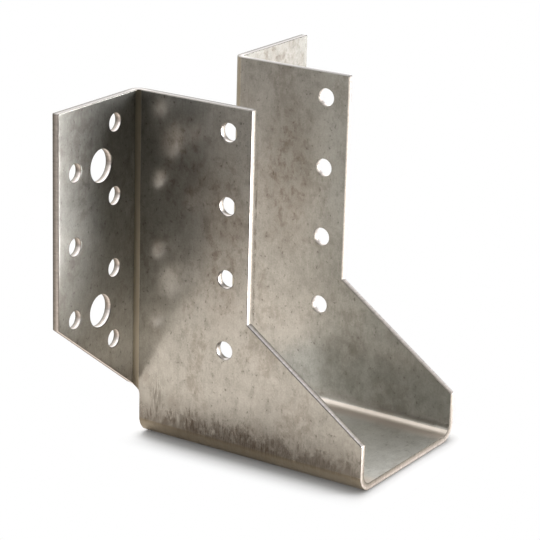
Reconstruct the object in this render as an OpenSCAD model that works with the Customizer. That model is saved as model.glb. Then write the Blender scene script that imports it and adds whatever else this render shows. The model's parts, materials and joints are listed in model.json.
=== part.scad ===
// Joist hanger: one steel sheet, cut to its outline, punched and folded.
// The joist rests on the seat between two cheeks. At the back, each cheek is folded outward into
// a flange that lies against the header, the beam that carries the hanger.
// X runs across the joist, the joist leaves towards -Y, the flanges' back faces look along +Y,
// and the underside of the seat is at Z = 0, with the origin under the middle of the seat's depth.

/* [Sheet] */
// Thickness of the sheet
sheet_t = 2; // [1:0.25:3]
// Inside radius of the upright folds between the cheeks and the flanges
flange_fold_r = 1.25; // [0.5:0.25:2.5]
// Inside radius of the folds between the seat and the cheeks
seat_fold_r = 3; // [1:0.5:5]

/* [Seat and cheeks] */
// Clear width between the cheeks, where the joist sits
joist_w = 45.5; // [36:0.5:100]
// Height from the underside of the seat to the top edge
hanger_h = 97.5; // [85:0.5:200]
// Depth of the seat, from the header to its front edge
seat_depth = 74.5; // [60:0.5:100]
// Depth of the cheeks' upper part, from the header to its front edge
cheek_depth = 38; // [36:0.5:52]
// Height at which the cheeks start to slope down towards the nose
shoulder_h = 39.25; // [28:0.25:60]
// Height of the short upright nose at the front of each cheek
nose_h = 13.5; // [9:0.5:24]

/* [Flanges] */
// Width of a flange, from the outer face of its cheek
flange_w = 34; // [32:0.5:50]
// Height of a flange's outer bottom corner
flange_low_h = 39.25; // [30:0.25:50]
// Height at which a flange's sloping bottom edge would meet the cheek's back edge
flange_root_h = 12.4; // [10:0.1:20]
// Radius of the inside corner there
root_corner_r = 2; // [0.5:0.25:3]

/* [Nail holes] */
// Diameter of the nail holes
nail_d = 5; // [3:0.1:6]
// Distance between two holes of a column
nail_pitch = 20; // [18:0.5:24]
// From the top edge to the middle of the first nail hole
nail_top = 7; // [5:0.5:9]
// From the cheek's outer face to the flange's inner column of nail holes
inner_column = 10; // [8:0.5:12]
// From the flange's outer edge to its outer column, which starts half a pitch lower
outer_inset = 7; // [5:0.5:8]
// From the header to the cheeks' column of nail holes
cheek_column = 31; // [20:0.5:33]
// Least height of a nail hole's middle over the flange's sloping edge
nail_edge = 5; // [4.5:0.5:7]

/* [Bolt holes] */
// Diameter of the bolt holes
bolt_d = 9; // [7:0.5:11]
// From the cheek's outer face to the column of bolt holes
bolt_column = 16; // [14:0.5:17.5]
// From the top edge to the middle of the first bolt hole
bolt_top = 17.5; // [15.5:0.5:19.5]
// Least height of a bolt hole's middle over the flange's sloping edge
bolt_edge = 11; // [9:0.5:12]

/* [Hidden] */
$fn = 96;

steel = [0.66, 0.64, 0.60];
cheek_x = joist_w / 2;
flange_x = cheek_x + sheet_t + flange_fold_r;
// The sheet is straight on both sides of a fold, from these lines on
fold_depth = sheet_t + flange_fold_r;
fold_h = sheet_t + seat_fold_r;
header_y = seat_depth / 2;

// The sloping edge is one straight cut in the flat sheet. It starts at the cheek's back edge and
// runs round the fold, so its height follows the distance along the middle of the sheet.
fold_length = (flange_fold_r + sheet_t / 2) * PI / 2;
edge_slope = (flange_low_h - flange_root_h) / (fold_length + flange_w - flange_fold_r);
function edge_h(along) = flange_root_h + edge_slope * along;
function edge_h_at(from_cheek) = edge_h(fold_length + from_cheek - flange_fold_r);

// The inside corner is an arc that touches the cheek's back edge and the sloping edge
corner_h = edge_h(root_corner_r) - root_corner_r * sqrt(1 + edge_slope ^ 2);
corner_turn = 90 - atan(edge_slope);
CORNER_STEPS = 8;
SLOPE_STEPS = 8;
corner_points = [for (i = [0 : CORNER_STEPS])
    let (a = corner_turn * i / CORNER_STEPS)
    [root_corner_r * (1 - cos(a)), corner_h + root_corner_r * sin(a)]];
slope_start = root_corner_r * (1 - cos(corner_turn));
slope_points = [for (i = [1 : SLOPE_STEPS])
    let (along = slope_start + (fold_length - slope_start) * i / SLOPE_STEPS)
    [along, edge_h(along)]];

// Rows that fit above the lowest place for a hole
function rows(first_h, least_h, pitch) = floor((first_h - least_h) / pitch) + 1;
first_nail_h = hanger_h - nail_top;
outer_nail_h = first_nail_h - nail_pitch / 2;
outer_column = flange_w - outer_inset;
inner_rows = rows(first_nail_h, edge_h_at(inner_column) + nail_edge, nail_pitch);
outer_rows = rows(outer_nail_h, edge_h_at(outer_column) + nail_edge, nail_pitch);
first_bolt_h = hanger_h - bolt_top;
bolt_pitch = 2 * nail_pitch;
bolt_rows = rows(first_bolt_h, edge_h_at(bolt_column) + bolt_edge, bolt_pitch);

// A column of round holes in a flat sheet, downward from the first
module hole_column(across, first_h, count, pitch, d) {
    for (row = [0 : count - 1])
        translate([across, first_h - row * pitch])
            circle(d = d);
}

// A quarter-round fold of the sheet about Z, from the +X side round to the +Y side
module sheet_fold(inner_r, length) {
    rotate_extrude(angle = 90)
        translate([inner_r, 0])
            square([sheet_t, length]);
}

module seat() {
    half_w = cheek_x - seat_fold_r;
    translate([-half_w, -seat_depth, 0])
        cube([2 * half_w, seat_depth - fold_depth, sheet_t]);
}

module seat_fold() {
    translate([cheek_x - seat_fold_r, -fold_depth, fold_h])
        rotate([90, 0, 0])
            rotate([0, 0, -90])
                sheet_fold(seat_fold_r, seat_depth - fold_depth);
}

// Flat outline of a cheek: depth from the header against height
module cheek_outline() {
    polygon([
        [fold_depth, fold_h],
        [seat_depth, fold_h],
        [seat_depth, nose_h],
        [cheek_depth, shoulder_h],
        [cheek_depth, hanger_h],
        [fold_depth, hanger_h]
    ]);
}

module cheek() {
    translate([cheek_x + sheet_t, 0, 0])
        rotate([90, 0, -90])
            linear_extrude(sheet_t)
                difference() {
                    cheek_outline();
                    hole_column(cheek_column, first_nail_h, inner_rows, nail_pitch, nail_d);
                }
}

// What the sloping cut takes away under the fold: its top is ruled by lines through the sheet,
// each square to the fold, at the height of the cut there. It reaches past both faces of the
// sheet and past both ends of the fold.
module under_fold() {
    past_end = sheet_t / 4;
    r_in = flange_fold_r / 2;
    r_out = flange_fold_r + 2 * sheet_t;
    turn_per_length = 90 / fold_length;
    points = concat([[-past_end, corner_h]], corner_points, slope_points,
                    [[fold_length + past_end, edge_h(fold_length + past_end)]]);
    n = len(points);
    function ring(p, r, h) = [r * cos(p[0] * turn_per_length), r * sin(p[0] * turn_per_length), h];
    corners = concat([for (p = points) ring(p, r_in, p[1])], [for (p = points) ring(p, r_out, p[1])],
                     [for (p = points) ring(p, r_out, 0)], [for (p = points) ring(p, r_in, 0)]);
    sides = [for (side = [0 : 3], i = [0 : n - 2], half = [0, 1])
        let (a = side * n + i, b = (side + 1) % 4 * n + i)
        half == 0 ? [a, b, b + 1] : [a, b + 1, a + 1]];
    ends = [[0, 3 * n, 2 * n], [0, 2 * n, n],
            [n - 1, 2 * n - 1, 3 * n - 1], [n - 1, 3 * n - 1, 4 * n - 1]];
    polyhedron(corners, concat(sides, ends));
}

// The upright fold runs from the cheek's back edge outward into the flange
module flange_fold() {
    translate([flange_x, -fold_depth, 0])
        mirror([1, 0, 0])
            difference() {
                translate([0, 0, corner_h])
                    sheet_fold(flange_fold_r, hanger_h - corner_h);
                under_fold();
            }
}

// Flat outline of a flange: distance from the cheek's outer face against height
module flange_outline() {
    polygon([
        [flange_fold_r, edge_h(fold_length)],
        [flange_w, flange_low_h],
        [flange_w, hanger_h],
        [flange_fold_r, hanger_h]
    ]);
}

module flange() {
    translate([cheek_x + sheet_t, 0, 0])
        rotate([90, 0, 0])
            linear_extrude(sheet_t)
                difference() {
                    flange_outline();
                    hole_column(inner_column, first_nail_h, inner_rows, nail_pitch, nail_d);
                    hole_column(outer_column, outer_nail_h, outer_rows, nail_pitch, nail_d);
                    hole_column(bolt_column, first_bolt_h, bolt_rows, bolt_pitch, bolt_d);
                }
}

module hanger() {
    color(steel)
        translate([0, header_y, 0]) {
            seat();
            for (side = [0, 1])
                mirror([side, 0, 0]) {
                    seat_fold();
                    cheek();
                    flange_fold();
                    flange();
                }
        }
}

hanger();
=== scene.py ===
"""Joist hanger: one folded sheet of zinc-coated steel, with its sheared edges, on a pale studio floor."""

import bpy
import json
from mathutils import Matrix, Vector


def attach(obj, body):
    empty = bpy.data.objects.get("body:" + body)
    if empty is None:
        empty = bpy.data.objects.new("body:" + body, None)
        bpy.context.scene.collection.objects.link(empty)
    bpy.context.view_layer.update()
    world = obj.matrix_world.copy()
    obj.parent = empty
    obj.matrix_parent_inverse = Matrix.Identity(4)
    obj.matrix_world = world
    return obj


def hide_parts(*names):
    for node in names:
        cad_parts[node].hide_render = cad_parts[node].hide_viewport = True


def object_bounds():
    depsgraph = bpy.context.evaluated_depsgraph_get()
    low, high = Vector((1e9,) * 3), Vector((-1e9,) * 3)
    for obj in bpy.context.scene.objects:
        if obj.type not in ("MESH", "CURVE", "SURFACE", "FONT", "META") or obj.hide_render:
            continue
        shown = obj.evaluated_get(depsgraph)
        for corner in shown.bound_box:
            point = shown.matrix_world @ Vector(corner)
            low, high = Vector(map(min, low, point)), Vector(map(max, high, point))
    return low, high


bl_info = {
    "name": "Joist Hanger",
    "version": (1, 0, 0),
    "blender": (4, 5, 0),
    "location": "View3D > Sidebar > Joist Hanger",
    "description": "Folded steel joist hanger with sheared edges and a zinc coat",
    "category": "Object",
}

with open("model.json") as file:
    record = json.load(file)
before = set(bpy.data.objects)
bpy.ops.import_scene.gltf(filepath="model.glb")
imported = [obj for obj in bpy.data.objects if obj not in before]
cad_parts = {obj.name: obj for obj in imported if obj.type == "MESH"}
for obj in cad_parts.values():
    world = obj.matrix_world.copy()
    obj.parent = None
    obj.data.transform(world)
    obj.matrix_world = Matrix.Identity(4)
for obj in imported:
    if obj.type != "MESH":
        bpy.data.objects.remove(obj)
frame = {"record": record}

import json
import math
from types import SimpleNamespace

import bpy
import numpy as np
from bpy.props import FloatProperty, FloatVectorProperty, PointerProperty
from mathutils import Matrix, Vector
from mathutils.geometry import delaunay_2d_cdt

NODE = "hanger"
CAD_LOW, CAD_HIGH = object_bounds()
MM = 0.001
QUARTER = math.pi / 2

# Steps of the mesh on the flats, along a fold's lines and along the outline
FLAT_STEP, FOLD_STEP, RIM_STEP = 3.1 * MM, 0.5 * MM, 1.5 * MM
# Lines across each fold, steps round a corner of the outline, and rows of the cut's roll-over and burr
SEAT_LINES, FLANGE_LINES, CORNER_STEPS, ROLL_ROWS, BURR_ROWS = 17, 13, 8, 7, 3
# Sides of a hole, and of one with more than this radius
HOLE_SIDES, BIG_HOLE_SIDES, BIG_HOLE = 48, 64, 3 * MM
# Points on the faces keep this far from the outline and the holes, and those on the flats from a fold
RIM_CLEAR, FOLD_CLEAR = 0.34 * MM, 0.4 * FLAT_STEP
# Shorter lengths count as none, and points nearer to each other than the second one would be welded
TINY, WELD = 1e-9, 1e-7
# The triangulation's mode that fills the outline and nothing outside it
FILL_INSIDE = 1
# The torn band starts with a lip: its depth as a share of the thickness, and its share of the taper
LIP_DEPTH, LIP_FALL = 0.12, 0.6
# The edge's rows from this one on are bare steel, and those above it still have their zinc
FIRST_BARE_ROW = 2
# On the patterns' map the inner face lies this far from the outer one, in metres
INNER_SHIFT = 1.0


def linear(code):
    """An sRGB hex code as a linear colour: the lower part of the curve is a line, the rest a power of 2.4."""
    parts = [int(code[i : i + 2], 16) / 255 for i in (1, 3, 5)]
    return tuple(p / 12.92 if p <= 0.04045 else ((p + 0.055) / 1.055) ** 2.4 for p in parts)


# What a user would change


class HangerSheet(bpy.types.PropertyGroup):
    """The folded sheet. Its height, depth and width come from the CAD node, its holes from the record."""

    thickness: FloatProperty(
        name="Sheet thickness", description="Thickness of the steel sheet",
        default=2 * MM, min=0.5 * MM, max=4 * MM, unit="LENGTH", precision=4)
    flange_fold: FloatProperty(
        name="Flange fold radius", description="Inside radius of the folds between cheeks and flanges",
        default=1.25 * MM, min=0.25 * MM, max=5 * MM, unit="LENGTH", precision=4)
    seat_fold: FloatProperty(
        name="Seat fold radius", description="Inside radius of the folds between seat and cheeks",
        default=3 * MM, min=0.25 * MM, max=8 * MM, unit="LENGTH", precision=4)
    joist_width: FloatProperty(
        name="Clear width", description="Clear width between the cheeks",
        default=45.5 * MM, min=30 * MM, max=100 * MM, unit="LENGTH", precision=4)
    cheek_depth: FloatProperty(
        name="Cheek depth", description="Depth of the cheeks' upper part, from the header",
        default=38 * MM, min=20 * MM, max=80 * MM, unit="LENGTH", precision=4)
    shoulder: FloatProperty(
        name="Shoulder height", description="Height at which the cheeks start to slope down",
        default=39.25 * MM, min=15 * MM, max=80 * MM, unit="LENGTH", precision=4)
    nose: FloatProperty(
        name="Nose height", description="Height of the upright nose at the front of each cheek",
        default=13.5 * MM, min=7 * MM, max=30 * MM, unit="LENGTH", precision=4)
    flange_low: FloatProperty(
        name="Flange low corner", description="Height of a flange's outer bottom corner",
        default=39.25 * MM, min=15 * MM, max=80 * MM, unit="LENGTH", precision=4)
    flange_root: FloatProperty(
        name="Flange root", description="Height at which the sloping edge would meet the cheek's back edge",
        default=12.4 * MM, min=8 * MM, max=30 * MM, unit="LENGTH", precision=4)
    root_radius: FloatProperty(
        name="Root corner radius", description="Radius of the inside corner at the flange's root",
        default=2 * MM, min=0.5 * MM, max=5 * MM, unit="LENGTH", precision=4)


class HangerCut(bpy.types.PropertyGroup):
    """The sheared and punched edges: rolled over on the punch's side, burnished, then torn."""

    corner: FloatProperty(
        name="Corner radius", description="Radius of the outline's corners",
        default=0.32 * MM, min=0.25 * MM, max=2 * MM, unit="LENGTH", precision=5)
    roll_width: FloatProperty(
        name="Roll-over width", description="How far the edge's roll-over reaches into the face",
        default=0.24 * MM, min=0, max=0.3 * MM, unit="LENGTH", precision=5)
    roll_depth: FloatProperty(
        name="Roll-over depth", description="How far the roll-over reaches down the edge",
        default=0.22 * MM, min=0, max=0.6 * MM, unit="LENGTH", precision=5)
    burnished: FloatProperty(
        name="Burnished share", description="Share of the thickness that the punch burnished",
        default=0.4, min=0.1, max=0.9, subtype="FACTOR")
    torn_taper: FloatProperty(
        name="Torn taper", description="How far the torn part falls back from the burnished one",
        default=0.05 * MM, min=0, max=0.2 * MM, unit="LENGTH", precision=5)
    burr_round: FloatProperty(
        name="Burr round", description="Round left on the edge's far side",
        default=0.05 * MM, min=0.01 * MM, max=0.2 * MM, unit="LENGTH", precision=5)


class HangerFinish(bpy.types.PropertyGroup):
    """Colours and gloss of the zinc coat and of the bare cut."""

    zinc_light: FloatVectorProperty(
        name="Zinc, light", description="Colour of the coat's brighter bloom",
        default=linear("#DFDED9"), size=3, min=0, max=1, subtype="COLOR")
    zinc_dark: FloatVectorProperty(
        name="Zinc, dark", description="Colour of the coat's duller bloom",
        default=linear("#B8B7B1"), size=3, min=0, max=1, subtype="COLOR")
    tarnish: FloatVectorProperty(
        name="Tarnish", description="Colour of the coat where it has weathered in broad patches",
        default=linear("#857463"), size=3, min=0, max=1, subtype="COLOR")
    dirt: FloatVectorProperty(
        name="Dirt", description="Colour of the fine dull mottling, and of the cut's far edge",
        default=linear("#5C5A50"), size=3, min=0, max=1, subtype="COLOR")
    smudge: FloatVectorProperty(
        name="Smudge", description="Colour of pits and of handling and press-tool smudges",
        default=linear("#5A4F44"), size=3, min=0, max=1, subtype="COLOR")
    bend_outer: FloatVectorProperty(
        name="Bend, outside", description="Colour of the coat that the press tool rubbed outside a bend",
        default=linear("#968C78"), size=3, min=0, max=1, subtype="COLOR")
    # Partly painted sheen: this colour inside the seat's folds stands for the press tool's rubbing and for
    # the band of light that the concave fold catches
    bend_inner_sheen: FloatVectorProperty(
        name="Bend, inside", description="Colour of the coat that the press tool rubbed inside a bend",
        default=linear("#C6BBB0"), size=3, min=0, max=1, subtype="COLOR")
    # Partly painted shade: this darker colour along the flange folds stands for the press tool's marks and
    # for shade in the concave fold
    fold_wear_and_shade: FloatVectorProperty(
        name="Flange fold", description="Colour of the coat along the upright folds",
        default=linear("#AFA692"), size=3, min=0, max=1, subtype="COLOR")
    # Painted shade: this dark colour stands in for the shadow line along the cut's rolled-over corner
    rolled: FloatVectorProperty(
        name="Rolled-over cut", description="Colour of the cut's rolled-over corner, where dirt gathers",
        default=linear("#665E56"), size=3, min=0, max=1, subtype="COLOR")
    burnish: FloatVectorProperty(
        name="Burnished cut", description="Colour of the cut's burnished band",
        default=linear("#F0E9E5"), size=3, min=0, max=1, subtype="COLOR")
    tear: FloatVectorProperty(
        name="Torn cut", description="Colour of the cut's torn band",
        default=linear("#CCC3BC"), size=3, min=0, max=1, subtype="COLOR")
    gloss_low: FloatProperty(
        name="Roughness, bright bloom", description="Roughness where the coat is smoothest",
        default=0.18, min=0, max=1, subtype="FACTOR")
    gloss_high: FloatProperty(
        name="Roughness, dull bloom", description="Roughness where the coat is dullest",
        default=0.25, min=0, max=1, subtype="FACTOR")
    haze: FloatProperty(
        name="Haze", description="Share of the reflection that the coat's crystals spread into a haze",
        default=0.33, min=0, max=1, subtype="FACTOR")
    haze_rough: FloatProperty(
        name="Haze roughness", description="Roughness of that haze",
        default=0.48, min=0, max=1, subtype="FACTOR")


class HangerStudio(bpy.types.PropertyGroup):
    """Camera, floor and light."""

    camera_place: FloatVectorProperty(
        name="Camera place", description="Where the camera stands",
        default=(-0.52187, -0.32672, 0.25093), size=3, subtype="XYZ", unit="LENGTH", precision=5)
    camera_azimuth: FloatProperty(
        name="Camera azimuth", description="Turn of the camera round the hanger, from its front to its right",
        default=math.radians(-57.299), subtype="ANGLE", unit="ROTATION")
    camera_elevation: FloatProperty(
        name="Camera elevation", description="Height of the camera over the horizon",
        default=math.radians(18.268), subtype="ANGLE", unit="ROTATION")
    camera_roll: FloatProperty(
        name="Camera roll", description="Roll of the camera about its line of sight",
        default=math.radians(1.597), subtype="ANGLE", unit="ROTATION")
    lens: FloatProperty(
        name="Lens", description="Focal length in millimetres",
        default=159.655, min=10, max=400, unit="CAMERA")
    floor_width: FloatProperty(
        name="Floor width", description="Width of the pale floor",
        default=6.0, min=1, max=20, unit="LENGTH")
    key_place: FloatVectorProperty(
        name="Softbox place", description="Where the large softbox hangs, looking at the origin",
        default=(0.25, 0.25, 0.95), size=3, subtype="XYZ", unit="LENGTH")
    key_width: FloatProperty(
        name="Softbox width", description="Width of the large softbox",
        default=0.9, min=0.1, max=5, unit="LENGTH")
    key_power: FloatProperty(
        name="Softbox power", description="Power of the large softbox",
        default=2.5, min=0, max=200, unit="POWER")
    side_place: FloatVectorProperty(
        name="Side light place", description="Where the low side light stands, on the front right",
        default=(0.52, -0.62, 0.28), size=3, subtype="XYZ", unit="LENGTH")
    side_aim: FloatProperty(
        name="Side light aim", description="Height of the point over the origin that the side light looks at",
        default=0.05, min=0, max=1, unit="LENGTH")
    side_width: FloatProperty(
        name="Side light width", description="Width of the side light",
        default=0.45, min=0.1, max=5, unit="LENGTH")
    side_power: FloatProperty(
        name="Side light power", description="Power of the side light",
        default=5.5, min=0, max=200, unit="POWER")
    room_light: FloatProperty(
        name="Room light", description="Strength of the light from all round",
        default=1.0, min=0, max=5)


# The flat blank and its folds


def blank_of(sheet):
    """The flat blank's fold lines. Its first direction, s, runs across the hanger along the sheet's middle,
    from the seat's middle up a cheek. Its second, d, is the depth from the header, and goes on past the
    flange's fold. A fold takes up a quarter turn at the sheet's middle radius."""
    t = sheet.thickness
    seat_mid = sheet.seat_fold + t / 2
    flange_mid = sheet.flange_fold + t / 2
    seat_flat = sheet.joist_width / 2 - sheet.seat_fold
    cheek_s = seat_flat + seat_mid * QUARTER
    fold_d = t + sheet.flange_fold
    plate_d = fold_d - flange_mid * QUARTER
    plate_x = sheet.joist_width / 2 + t + sheet.flange_fold
    return SimpleNamespace(
        t=t, seat_mid=seat_mid, flange_mid=flange_mid, seat_flat=seat_flat, cheek_s=cheek_s,
        cheek_z=t + sheet.seat_fold, fold_d=fold_d, plate_d=plate_d, plate_x=plate_x,
        header_y=CAD_HIGH.y, top_s=cheek_s + CAD_HIGH.z - t - sheet.seat_fold,
        front_d=CAD_HIGH.y - CAD_LOW.y, edge_d=plate_d - (CAD_HIGH.x - plate_x))


def turns(blank, s, d):
    """How far the sheet has turned at a place on the blank, in the seat's fold and in the flange's: the
    length past the fold's first line over its middle radius, from 0 to a quarter turn."""
    seat_turn = np.clip((np.abs(s) - blank.seat_flat) / blank.seat_mid, 0, QUARTER)
    flange_turn = np.clip((blank.fold_d - d) / blank.flange_mid, 0, QUARTER)
    return seat_turn, flange_turn


def folded(blank, s, d, b):
    """Places in the shared frame of points on the blank. The seat's fold is an arc of the middle radius in
    the plane across the joist, and the flange's an arc in plan. b is the offset from the sheet's middle
    towards the outer face, which moves a point along the sheet's normal, and so changes its radius in a
    fold."""
    side = np.where(s < 0, -1.0, 1.0)
    a, f = turns(blank, s, d)
    up = np.maximum(np.abs(s) - blank.cheek_s, 0)
    across = np.minimum(np.abs(s), blank.seat_flat) + blank.seat_mid * np.sin(a) + b * np.sin(a)
    across = across + (blank.flange_mid - b) * (1 - np.cos(f)) + np.maximum(blank.plate_d - d, 0)
    depth = np.maximum(d, blank.fold_d) - (blank.flange_mid - b) * np.sin(f)
    height = blank.t / 2 + blank.seat_mid * (1 - np.cos(a)) + up - b * np.cos(a)
    return np.stack([side * across, blank.header_y - depth, height], -1)


def directions(blank, s, d):
    """The three unit directions at a place on the blank: along s, along d, and out of the outer face. They
    turn with the sheet, so in the flange's fold the third one turns from across the joist to along it."""
    side = np.where(s < 0, -1.0, 1.0)
    a, f = turns(blank, s, d)
    none = np.zeros_like(a)
    along_s = np.stack([np.cos(a), none, side * np.sin(a)], -1)
    along_d = np.stack([-side * np.sin(f), -np.cos(f), none], -1)
    outward = np.stack([side * np.sin(a) * np.cos(f), -np.sin(f), -np.cos(a)], -1)
    return along_s, along_d, outward


def split(a, b, lines):
    """Shares of the way from a to b: both ends, each crossing with a fold's lines, and even steps between."""
    end_share, digits = 1e-4, 7
    run = b - a
    cuts = [0.0, 1.0]
    for axis in (0, 1):
        if abs(run[axis]) > TINY:
            share = (lines[axis] - a[axis]) / run[axis]
            cuts.extend(share[(share > end_share) & (share < 1 - end_share)])
    cuts = np.unique(np.round(cuts, digits))
    counts = np.maximum(np.ceil(np.diff(cuts) * np.linalg.norm(run) / RIM_STEP), 1).astype(int)
    parts = zip(cuts[:-1], cuts[1:], counts)
    return np.concatenate([np.linspace(p, q, n, endpoint=False) for p, q, n in parts])


def rounded_loop(corners, radii, lines):
    """A closed outline with its material on the left: at each corner an arc that touches both sides, and
    between them straight runs. An arc's middle lies off the corner by the radius times the tangent of half
    the turn. Gives the outline's points and their inward directions."""
    before, after = np.roll(corners, 1, 0), np.roll(corners, -1, 0)
    come = corners - before
    come /= np.linalg.norm(come, axis=1, keepdims=True)
    go = after - corners
    go /= np.linalg.norm(go, axis=1, keepdims=True)
    turn = np.arctan2(come[:, 0] * go[:, 1] - come[:, 1] * go[:, 0], (come * go).sum(1))
    heading = np.arctan2(come[:, 1], come[:, 0])
    reach = radii * np.tan(np.abs(turn) / 2)
    left = np.stack([-come[:, 1], come[:, 0]], -1)
    centre = corners - come * reach[:, None] + left * (np.sign(turn) * radii)[:, None]
    steps = np.linspace(0, 1, CORNER_STEPS + 1)
    angle = heading[:, None] + turn[:, None] * steps + QUARTER
    inward = np.stack([np.cos(angle), np.sin(angle)], -1)
    arcs = centre[:, None] - inward * (np.sign(turn) * radii)[:, None, None]
    points, normals = [], []
    for i in range(len(corners)):
        start, end = arcs[i, -1], arcs[(i + 1) % len(corners), 0]
        share = split(start, end, lines)[1:]
        straight = start + share[:, None] * (end - start)
        points += [arcs[i], straight]
        normals += [inward[i], np.repeat(inward[i, -1:], len(straight), 0)]
    return np.concatenate(points), np.concatenate(normals)


def ring(centre, radius):
    """A round hole's outline, run clockwise so that the material is on its left, with its inward directions,
    which point away from the hole's middle."""
    count = BIG_HOLE_SIDES if radius > BIG_HOLE else HOLE_SIDES
    angle = -np.linspace(0, 2 * math.pi, count, endpoint=False)
    away = np.stack([np.cos(angle), np.sin(angle)], -1)
    return centre + radius * away, away


def hole_places(blank):
    """Middle and radius of each hole on the blank, from the record's nail and bolt patterns: an even grid
    about the pattern's middle, one or two wide and two high."""
    found = []
    for mount in frame["record"]["mounts"]:
        if mount["kind"] != "bolt_pattern":
            continue
        dims = mount["dims"]
        x, y, z = mount["pos_m"]
        wide, high = (dims.get(k, 0) * MM / 2 for k in ("spacing_x_mm", "spacing_y_mm"))
        radius = dims["hole_r_mm"] * MM
        looks_along_y = abs(mount["axis"][1]) > abs(mount["axis"][0])
        for height in sorted({z - high, z + high}):
            s = blank.cheek_s + height - blank.cheek_z
            if looks_along_y:
                d = blank.plate_d - (wide - blank.plate_x)
                found += [(s, d, radius), (-s, d, radius)]
            else:
                found.append((math.copysign(s, x), blank.header_y - y, radius))
    return np.array(found)


def outline_corners(sheet, blank, cut):
    """The blank's corners and their radii, run with the material on the left: one half, then its mirror
    image."""

    def at(height):
        """The place up the blank, in s, of a height on a cheek."""
        return blank.cheek_s + height - blank.cheek_z

    half = np.array([
        [at(sheet.flange_root), blank.fold_d],
        [at(sheet.flange_low), blank.edge_d],
        [blank.top_s, blank.edge_d],
        [blank.top_s, sheet.cheek_depth],
        [at(sheet.shoulder), sheet.cheek_depth],
        [at(sheet.nose), blank.front_d],
    ])
    radii = np.full(len(half), cut.corner)
    radii[0] = sheet.root_radius
    return np.concatenate([half, half[::-1] * (-1, 1)]), np.concatenate([radii, radii[::-1]])


def inside(points, corners):
    """Which points lie inside a polygon: those from which a line crosses its sides an odd number of times."""
    a, b = corners, np.roll(corners, -1, 0)
    spans = (a[:, 1] > points[:, 1:]) != (b[:, 1] > points[:, 1:])
    rise = np.where(np.abs(b[:, 1] - a[:, 1]) < TINY, TINY, b[:, 1] - a[:, 1])
    cross = a[:, 0] + (points[:, 1:] - a[:, 1]) * (b[:, 0] - a[:, 0]) / rise
    return ((spans & (points[:, :1] < cross)).sum(1) % 2).astype(bool)


def edge_distance(points, corners):
    """Distance of points from a polygon's nearest side: to the foot of the perpendicular, held to the
    side."""
    run = np.roll(corners, -1, 0) - corners
    share = np.clip(((points[:, None] - corners) * run).sum(-1) / (run * run).sum(-1), 0, 1)
    return np.linalg.norm(points[:, None] - corners - share[..., None] * run, axis=-1).min(1)


def inner_points(blank, corners, holes, lines):
    """Points spread over the blank: an even grid on the flats, and on each of a fold's lines a row close
    enough for the fold to stay smooth. None lies near the outline or a hole."""
    fold_s, fold_d = lines
    all_s = -blank.top_s, blank.top_s
    all_d = blank.edge_d, blank.front_d
    grid = np.meshgrid(np.arange(*all_s, FLAT_STEP), np.arange(*all_d, FLAT_STEP))
    grid = np.stack(grid, -1).reshape(-1, 2)
    across = np.abs(grid[:, 0])
    on_seat = (across < fold_s.max() + FOLD_CLEAR) & (across > blank.seat_flat - FOLD_CLEAR)
    on_flange = (grid[:, 1] < blank.fold_d + FOLD_CLEAR) & (grid[:, 1] > blank.plate_d - FOLD_CLEAR)
    grid = grid[~on_seat & ~on_flange]
    seat_rows = np.stack(np.meshgrid(fold_s, np.arange(*all_d, FOLD_STEP)), -1).reshape(-1, 2)
    flange_rows = np.stack(np.meshgrid(np.arange(*all_s, FOLD_STEP), fold_d), -1).reshape(-1, 2)
    flange_rows = flange_rows[np.abs(flange_rows[:, 0]) > blank.cheek_s + FOLD_STEP]
    points = np.concatenate([grid, seat_rows, flange_rows])
    points = points[inside(points, corners)]
    points = points[edge_distance(points, corners) > RIM_CLEAR]
    gap = np.linalg.norm(points[:, None] - holes[:, :2], axis=-1) - holes[:, 2]
    return points[gap.min(1) > RIM_CLEAR]


def edge_profile(blank, cut):
    """The cut edge's profile from the outer face to the inner one: a quarter of an ellipse for the
    roll-over, an upright burnished band, a torn band that falls back a little, and a small round. Its
    columns are how far it lies inside the outline, its offset from the sheet's middle, how far its normal
    leans out of the face, and the share of the thickness passed."""
    half = blank.t / 2
    angle = np.linspace(0, QUARTER, ROLL_ROWS)
    roll = np.stack([
        cut.roll_width * (1 - np.sin(angle)), half - cut.roll_depth * (1 - np.cos(angle)),
        np.arctan2(np.sin(angle) * cut.roll_depth, np.cos(angle) * cut.roll_width)], -1)
    burnish_end = half - cut.burnished * blank.t
    torn_end = -half + cut.burr_round
    bands = np.array([
        [0, burnish_end, QUARTER],
        [cut.torn_taper * LIP_FALL, burnish_end - LIP_DEPTH * blank.t, QUARTER],
        [cut.torn_taper, torn_end, QUARTER]])
    angle = np.linspace(0, QUARTER, BURR_ROWS + 1)[1:]
    burr = np.stack([
        cut.torn_taper + cut.burr_round * (1 - np.cos(angle)), torn_end - cut.burr_round * np.sin(angle),
        QUARTER + angle], -1)
    rows = np.concatenate([roll, bands, burr])
    return np.column_stack([rows, (half - rows[:, 1]) / blank.t])


def blank_rim(corners, radii, holes, lines):
    """All the blank's outlines in one array, the outer one and then each hole's: the points, their inward
    directions, and for each point the number of the one that follows it on its own outline."""
    loops = [rounded_loop(corners, radii, lines)]
    loops += [ring(hole[:2], hole[2]) for hole in holes]
    counts = np.array([len(points) for points, _ in loops])
    first = np.repeat(np.cumsum(counts) - counts, counts)
    number = np.arange(counts.sum())
    following = first + (number - first + 1) % np.repeat(counts, counts)
    points, away = (np.concatenate(parts) for parts in zip(*loops))
    return points, away, following


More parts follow.
